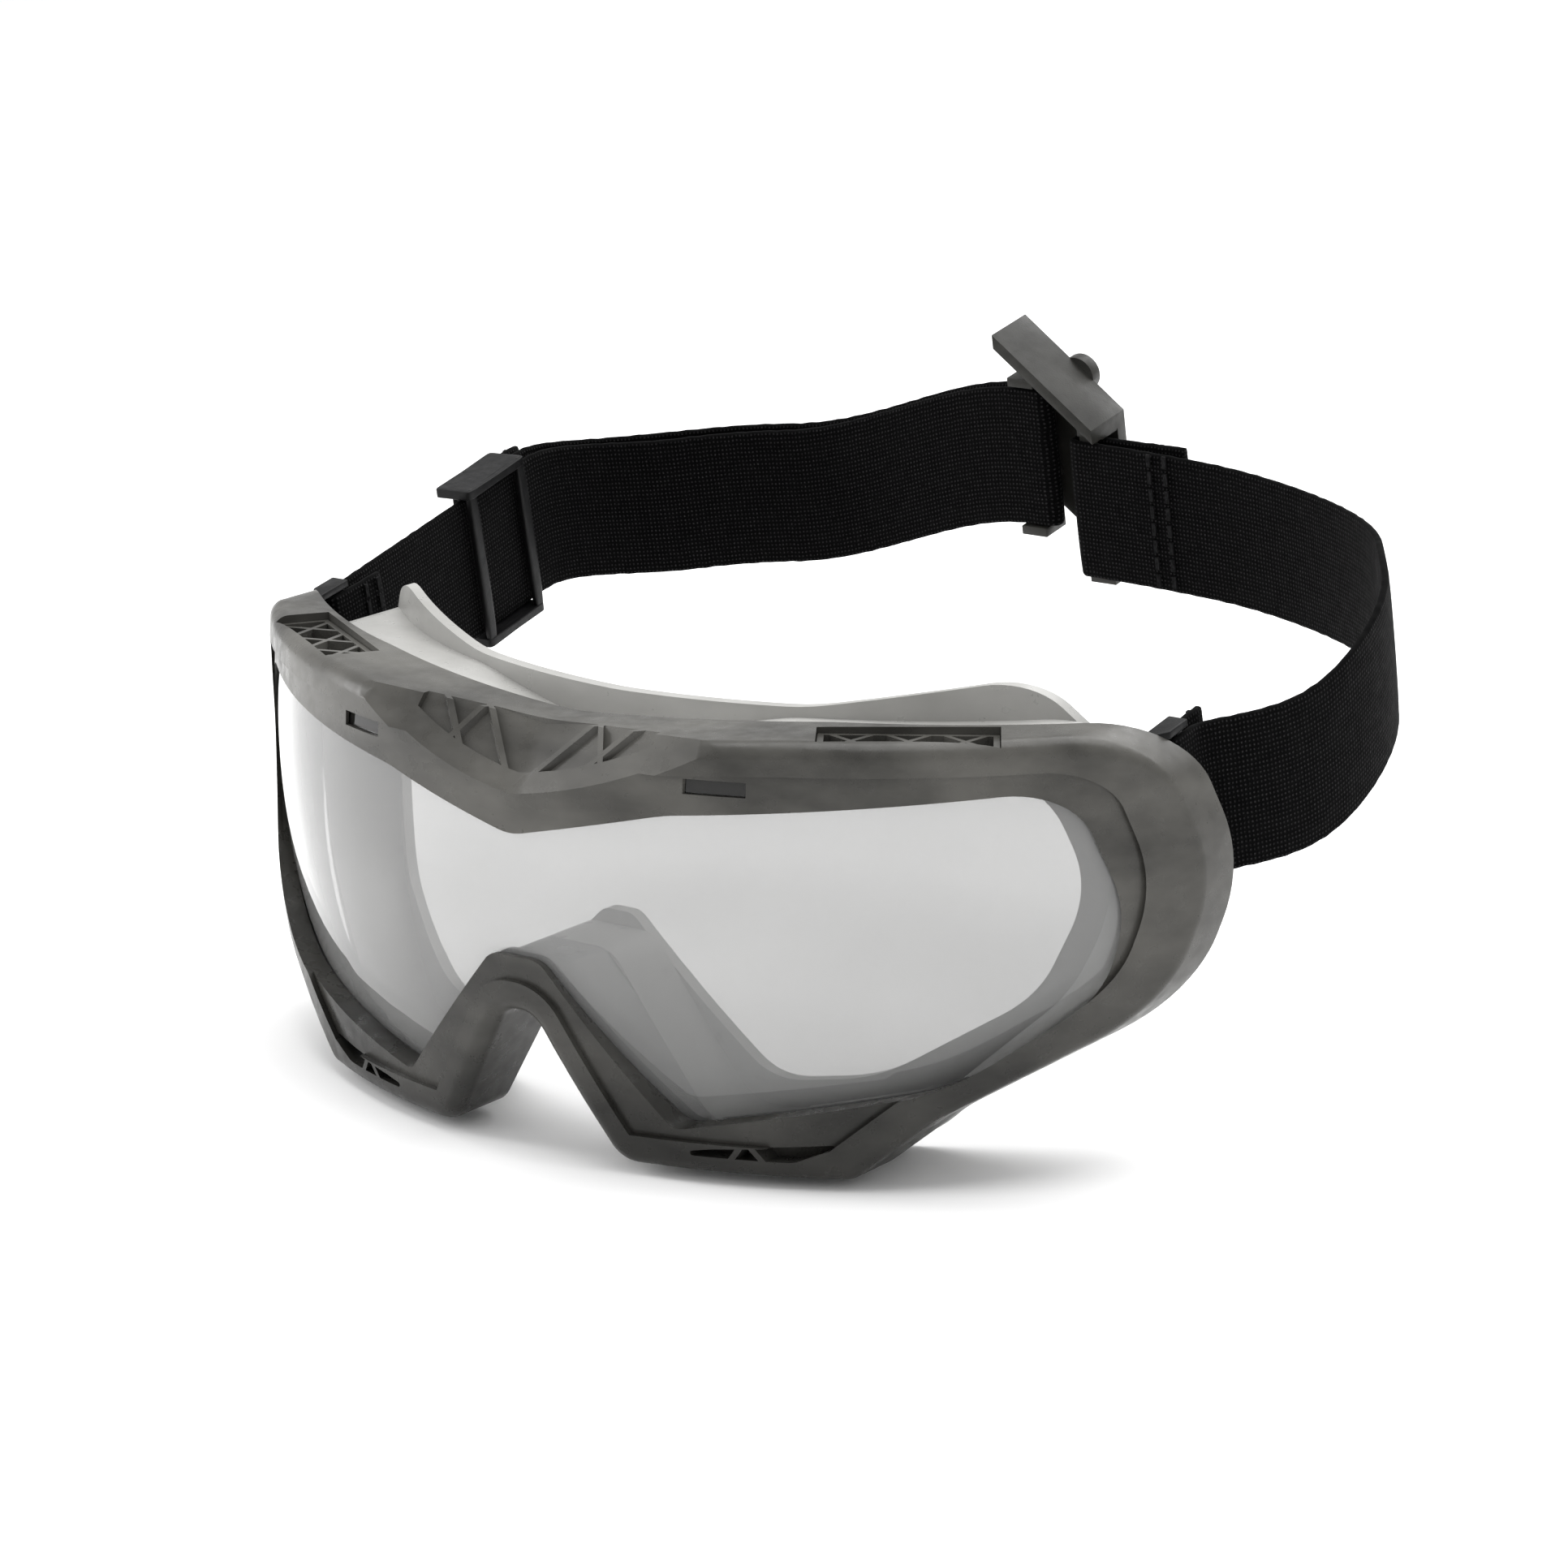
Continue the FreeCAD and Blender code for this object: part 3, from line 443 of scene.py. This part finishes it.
def with_even_points(line):
    """A line with a point added at every step of its length, leaving out near doubles."""
    gaps = np.linalg.norm(np.diff(line, axis=0), axis=1)
    along = np.concatenate([[0.0], np.cumsum(gaps)])
    places = np.union1d(np.arange(0.0, along[-1], PATH_STEP), along)
    places = places[np.concatenate([[True], np.diff(places) > NEAREST])]
    return np.stack([np.interp(places, along, line[:, i]) for i in (0, 1)], axis=1)


def rounded_path(corners):
    """A line through corners (x, y, radius): straight runs joined by arcs that touch both of them."""
    spots = np.array([corner[:2] for corner in corners], float)
    arcs = [
        corner_arc(spots[i - 1], spots[i], spots[i + 1], corners[i][2])
        for i in range(1, len(corners) - 1)]
    return with_even_points(np.concatenate([spots[:1]] + arcs + [spots[-1:]]))


# The webbing's section: its points, its half thickness as a share of the whole, how square it is,
# and how much fuller its selvedges are, how far in from the edge and over what spread.
SECTION_POINTS = 56
HALF_SHARE = 0.47
SQUARENESS = 0.28
FULLER, SELVEDGE_IN, SELVEDGE_WIDE = 0.10, 0.045, 0.03
# Its width trembles by this share, in two waves of these radians to a millimetre.
TREMBLE = 0.006
SHORT_WAVE, LONG_WAVE = 1.9, 0.43


def outward_object(name, mesh, material):
    """A smoothly shaded object of one material whose faces all look outwards."""
    mesh.materials.append(material)
    mesh.shade_smooth()
    work = bmesh.new()
    work.from_mesh(mesh)
    bmesh.ops.recalc_face_normals(work, faces=work.faces)
    work.to_mesh(mesh)
    work.free()
    made = bpy.data.objects.new(name, mesh)
    bpy.context.scene.collection.objects.link(made)
    return made


def webbing_section():
    """The section's places across the webbing's width, by the cosine of a turn, and across its
    thickness, by the sine raised to a small power and a little fuller at both selvedges."""
    turn = np.linspace(0.0, 2.0 * math.pi, SECTION_POINTS, endpoint=False)
    width = 0.5 * WEBBING * np.cos(turn)
    inward = np.abs(np.sin(turn))
    from_edge = 1.0 - np.abs(np.cos(turn))
    selvedge = 1.0 + FULLER * np.exp(-((from_edge - SELVEDGE_IN) / SELVEDGE_WIDE) ** 2)
    thin = HALF_SHARE * THICK * np.sign(np.sin(turn)) * inward ** SQUARENESS * selvedge
    return width, thin


def capped_tube(name, rings):
    """A mesh through rings of points: each ring joined to the next, with both ends closed."""
    rows, columns = rings.shape[:2]
    grid = np.arange(rows * columns).reshape(rows, columns)
    ahead = np.roll(grid, -1, axis=1)
    faces = np.stack([grid[:-1], grid[1:], ahead[1:], ahead[:-1]], axis=-1).reshape(-1, 4)
    caps = [grid[0].tolist(), grid[-1][::-1].tolist()]
    mesh = bpy.data.meshes.new(name)
    mesh.from_pydata(rings.reshape(-1, 3).tolist(), [], faces.tolist() + caps)
    return mesh


def lay_cloth(mesh, along, width):
    """The cloth's UV map, in metres along the webbing and across it."""
    cloth = mesh.uv_layers.new(name="cloth")
    corner_points = np.empty(len(mesh.loops), np.int64)
    mesh.loops.foreach_get("vertex_index", corner_points)
    u = along[corner_points // SECTION_POINTS] * MM
    v = width[corner_points % SECTION_POINTS] * MM
    cloth.data.foreach_set("uv", np.stack([u, v], axis=1).ravel().astype(np.float32))


def webbing(name, path, lift):
    """Flat webbing on edge along a path: its section at each point, square to the path, trembling a
    little in width and lifted by lift(share of the length, path)."""
    gaps = np.linalg.norm(np.diff(path, axis=0), axis=1)
    along = np.concatenate([[0.0], np.cumsum(gaps)])
    way = np.gradient(path, along, axis=0)
    way /= np.linalg.norm(way, axis=1)[:, None]
    across = np.stack([-way[:, 1], way[:, 0]], axis=1)
    width, thin = webbing_section()
    tremble = 1.0 - TREMBLE * (1.0 + np.sin(along * SHORT_WAVE) * np.sin(along * LONG_WAVE))
    sections = np.empty((len(path), SECTION_POINTS, 3))
    sections[..., 0] = path[:, 0, None] + across[:, 0, None] * thin[None, :]
    sections[..., 1] = path[:, 1, None] + across[:, 1, None] * thin[None, :]
    sections[..., 2] = width[None, :] * tremble[:, None] + lift(along / along[-1], path)[:, None]
    mesh = capped_tube(name, on_goggles(sections))
    lay_cloth(mesh, along, width)
    made = outward_object(name, mesh, ELASTIC)
    return made


def hill(share, middle, spread_out):
    """A smooth rise and fall about a place along the strap."""
    return np.exp(-(((share - middle) / spread_out) ** 2))


def smooth_step(value):
    """0 below 0, 1 above 1, and an even curve between."""
    t = np.clip(value, 0.0, 1.0)
    return t * t * (3.0 - 2.0 * t)


# ---------------------------------------------------------------- right strap

lug_fold = [
    (LUG_ACROSS - LAYER / 2, LUG_BAR - LAYER / 2, LAYER / 2),
    (LUG_ACROSS + LAYER / 2, LUG_BAR - LAYER / 2, LAYER / 2),
]
RIGHT_BOW = (SWELL + 1.5, 0.37 * BACK)
RIGHT_SHOULDER = (0.6 * SWELL, BACK)
right_corners = [(LUG_ACROSS - LAYER / 2, LUG_TAB, 0)] + lug_fold + [
    (LUG_ACROSS + LAYER / 2, LUG_STRAIGHT, 6.0),
    RIGHT_BOW + (44.0,),
    RIGHT_SHOULDER + (56.0,),
    (CLIP_BAR - LAYER / 2, BACK, LAYER / 2),
    (CLIP_BAR - LAYER / 2, BACK + LAYER, LAYER / 2),
    (CLIP_BAR + RIGHT_TAB, BACK + LAYER, 0),
]


# Where the right strap rises or sinks: by how much, and the middle and spread as shares of its length.
RIGHT_HILLS = [(3.6, 0.38, 0.12), (-1.6, 0.20, 0.07), (-1.6, 0.66, 0.13)]


def right_lift(share, path):
    """The right strap rides up beside the head and sinks a little behind it."""
    return sum(rise * hill(share, middle, spread_out) for rise, middle, spread_out in RIGHT_HILLS)


right_strap = webbing("right_webbing", rounded_path(right_corners), right_lift)
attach(right_strap, "goggles")
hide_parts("right_strap")

# ---------------------------------------------------------------- left strap

LEFT_CORNER = (0.89 * SWELL, 0.755 * BACK)
LEFT_SHOULDER = (0.55 * SWELL, BACK)
HOOK_PAST_BAR = 1.0
HOOK_FOLD = CLIP_BAR + HOOK_PAST_BAR + LAYER / 2
inner_corners = [(LUG_ACROSS - LAYER / 2, LUG_TAB, 0)] + lug_fold + [
    LEFT_CORNER + (25.0,),
    LEFT_SHOULDER + (58.0,),
    (HOOK_FOLD - LAYER, BACK, LAYER / 2),
    (HOOK_FOLD - LAYER, BACK + LAYER, LAYER / 2),
    (-LEFT_CUT, BACK + LAYER, 0),
]
inner_corners = [(-x, y, radius) for x, y, radius in inner_corners]


CLIMB_FROM, CLIMB_LONG = -54.0, 47.0
CLIMB_BACK, CLIMB_DEEP = 0.72 * BACK, 12.0
SAG_FROM, SAG_LONG, SAG = 64.0, 22.0, 3.6


def left_lift(share, path):
    """The left strap sags behind the adjuster, then climbs to the clip's hook."""
    across = smooth_step((path[:, 0] - CLIMB_FROM) / CLIMB_LONG)
    at_back = smooth_step((path[:, 1] - CLIMB_BACK) / CLIMB_DEEP)
    climb = across * at_back
    behind = smooth_step((path[:, 1] - SAG_FROM) / SAG_LONG)
    return LEFT_LIFT * climb - SAG * behind * (1.0 - climb)


left_inner = webbing("left_webbing", rounded_path(inner_corners), left_lift)
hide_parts("left_strap", "left_strap_clip_end")

run_start = np.array([-(LUG_ACROSS + LAYER / 2), LUG_STRAIGHT])
run_way = np.array([-LEFT_CORNER[0], LEFT_CORNER[1]]) - run_start
run_way /= np.linalg.norm(run_way)
run_left = np.array([-run_way[1], run_way[0]])
adjuster_along = ((ADJUSTER_BACK - HANG[1]) / math.cos(STRAP_RISE) - LUG_STRAIGHT) / run_way[1]


def beside_adjuster(out, back, radius):
    """A corner measured from the adjuster's middle: outwards from the strap and back along it."""
    spot = run_start + run_way * (adjuster_along + back) + run_left * out
    return (spot[0], spot[1], radius)


BAR_WIDE = 3.0
SEWN_TAB = 17.0
OUTER_BULGE = 2.2
fold_at = -BAR_WIDE / 2 - LAYER / 2
outer_corners = [
    beside_adjuster(2 * LAYER, SEWN_TAB, 0),
    beside_adjuster(2 * LAYER, fold_at, LAYER / 2),
    beside_adjuster(LAYER, fold_at, LAYER / 2),
    (-(LEFT_CORNER[0] + LAYER + OUTER_BULGE * 0.5), LEFT_CORNER[1] + OUTER_BULGE * 1.5, 22.0),
    (-LEFT_SHOULDER[0], BACK + LAYER, 58.0),
    (LEFT_CUT, BACK + LAYER, 0),
]


left_outer = webbing("left_outer_webbing", rounded_path(outer_corners), left_lift)
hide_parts("left_strap_return", "left_strap_sewn_end")


# ---------------------------------------------------------------- slide adjuster

EASE = 0.3
HALF_BAND = THICK / 2.0
ADJUSTER_HALF = 8.5
ADJUSTER_TALL = WEBBING / 2.0 + 2.0
RAIL = 1.2
RAIL_INNER = HALF_BAND + EASE
RAIL_OUTER = RAIL_INNER + RAIL
BAR_INNER = LAYER + HALF_BAND
BAR_OUTER = BAR_INNER + BAR
CHEEK_PAST_BAR = 0.3
CHEEK_WAIST = 0.2
ROD_SOFTNESS = 0.46
CHEEK_SOFTNESS = 0.14


def rounded_block(low, high, softness, waist=0.0, rows=26, columns=64):
    """A block from low to high with every edge rounded: the shares of its half sizes, each raised to
    the power 2 / softness, add up to 1. Its height drops by the waist at the middle of its length."""
    low, high = np.array(low), np.array(high)
    around = np.linspace(0.0, 2.0 * math.pi, columns, endpoint=False)[None, :]
    up = np.linspace(-0.5 * math.pi, 0.5 * math.pi, rows + 2)[1:-1, None]
    level, side, end, height = (
        np.sign(value) * np.abs(value) ** softness
        for value in (np.cos(up), np.cos(around), np.sin(around), np.sin(up)))
    shares = np.stack([level * side, level * end, height * np.ones_like(around)], axis=-1)
    shares[..., 2] *= 1.0 - waist * (1.0 - shares[..., 1] ** 2)
    points = (low + high) / 2.0 + shares * (high - low) / 2.0
    grid = np.arange(rows * columns).reshape(rows, columns)
    ahead = np.roll(grid, -1, axis=1)
    faces = np.stack([grid[:-1], ahead[:-1], ahead[1:], grid[1:]], axis=-1).reshape(-1, 4)
    return points.reshape(-1, 3), faces.tolist() + [grid[0][::-1].tolist(), grid[-1].tolist()]


def adjuster_blocks():
    """The adjuster's five parts, in (outwards, back, up): two waisted cheeks that swell to a knob at
    each end, two rails on the inside of the strap and the sewn middle bar on the outside."""
    blocks = []
    for side in (-1, 1):
        near, far = side * (WEBBING / 2.0 + EASE), side * ADJUSTER_TALL
        low = (-RAIL_OUTER, -ADJUSTER_HALF, min(near, far))
        high = (BAR_OUTER + CHEEK_PAST_BAR, ADJUSTER_HALF, max(near, far))
        blocks.append(rounded_block(low, high, CHEEK_SOFTNESS, CHEEK_WAIST))
        middle = side * (ADJUSTER_HALF - RAIL)
        blocks.append(rounded_block(
            (-RAIL_OUTER, middle - RAIL, -ADJUSTER_TALL), (-RAIL_INNER, middle + RAIL, ADJUSTER_TALL),
            ROD_SOFTNESS))
    blocks.append(rounded_block(
        (BAR_INNER, -BAR_WIDE / 2.0, -ADJUSTER_TALL), (BAR_OUTER, BAR_WIDE / 2.0, ADJUSTER_TALL),
        ROD_SOFTNESS))
    return blocks


def slide_adjuster():
    """The adjuster's rounded parts, set on the straight run of the left strap."""
    points, faces = [], []
    for block_points, block_faces in adjuster_blocks():
        first = sum(len(done) for done in points)
        along_run = run_start + run_way * (adjuster_along + block_points[:, 1:2])
        spots = along_run + run_left * block_points[:, 0:1]
        points.append(on_goggles(np.concatenate([spots, block_points[:, 2:3]], axis=1)))
        faces += [[first + corner for corner in face] for face in block_faces]
    mesh = bpy.data.meshes.new("slide_adjuster")
    mesh.from_pydata(np.concatenate(points).tolist(), [], faces)
    return outward_object("slide_adjuster", mesh, BLACK)


adjuster = slide_adjuster()
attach(adjuster, "strap_adjuster")
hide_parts("strap_adjuster")


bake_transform(left_inner)
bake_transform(left_outer)

# ---------------------------------------------------------------- floor, light and camera

floor_material, floor_nodes, floor_links, floor_shader = new_material("pale_floor")
paper = object_noise(floor_nodes, floor_links, 3.0, 2.0)
paper_colour = spread(floor_nodes, floor_links, paper.outputs["Fac"], grey(0.90), grey(0.93))
floor_links.new(paper_colour.outputs["Color"], floor_shader.inputs["Base Color"])
floor_shader.inputs["Roughness"].default_value = 0.85
floor_mesh = bpy.data.meshes.new("floor")
FLOOR_REACH = 6.0
FLOOR_BELOW = 0.5 * MM
floor_corners = [(-1, -1), (1, -1), (1, 1), (-1, 1)]
floor_mesh.from_pydata(
    [(x * FLOOR_REACH, y * FLOOR_REACH, cad_low.z - FLOOR_BELOW) for x, y in floor_corners],
    [], [(0, 1, 2, 3)])
floor_mesh.materials.append(floor_material)
floor = bpy.data.objects.new("floor", floor_mesh)
bpy.context.scene.collection.objects.link(floor)

world = bpy.data.worlds.new("studio")
world.use_nodes = True
background = world.node_tree.nodes["Background"]
background.inputs["Color"].default_value = grey(1.0)
background.inputs["Strength"].default_value = 0.72
bpy.context.scene.world = world
bpy.context.scene.view_settings.view_transform = "Standard"


def soft_box(name, place, aim, wide, tall, power):
    """A rectangular studio light turned to face a point: sizes in metres, power in watts."""
    data = bpy.data.lights.new(name, "AREA")
    data.shape = "RECTANGLE"
    data.size, data.size_y = wide, tall
    data.energy = power
    light = bpy.data.objects.new(name, data)
    light.location = place
    light.rotation_mode = "QUATERNION"
    light.rotation_quaternion = (Vector(place) - Vector(aim)).to_track_quat("Z", "Y")
    bpy.context.scene.collection.objects.link(light)


middle = (cad_low + cad_high) / 2.0
soft_box("top_light", (0.1, 0.25, 1.2), middle, 1.3, 1.3, 20.0)
soft_box("left_light", (-1.1, -0.35, 0.35), middle, 0.22, 1.0, 9.0)
soft_box("left_strip", (-0.75, -0.95, 0.30), middle, 0.06, 0.9, 2.5)
soft_box("back_light", (0.2, 1.2, 0.7), middle, 1.0, 0.6, 6.0)

AZIMUTH, ELEVATION = math.radians(35.24), math.radians(15.0)
DISTANCE = 0.760
AIM = Vector((28.2, 0.2, 23.5)) * MM
towards_camera = Vector((
    math.sin(AZIMUTH) * math.cos(ELEVATION),
    -math.cos(AZIMUTH) * math.cos(ELEVATION),
    math.sin(ELEVATION)))
camera_data = bpy.data.cameras.new("camera")
camera_data.sensor_width = 36.0
camera_data.lens = 121.1
camera_data.clip_start = 0.01
camera = bpy.data.objects.new("camera", camera_data)
camera.rotation_mode = "QUATERNION"
camera.rotation_quaternion = towards_camera.to_track_quat("Z", "Y")
camera.location = AIM + towards_camera * DISTANCE
bpy.context.scene.collection.objects.link(camera)
bpy.context.scene.camera = camera

bpy.context.view_layer.update()
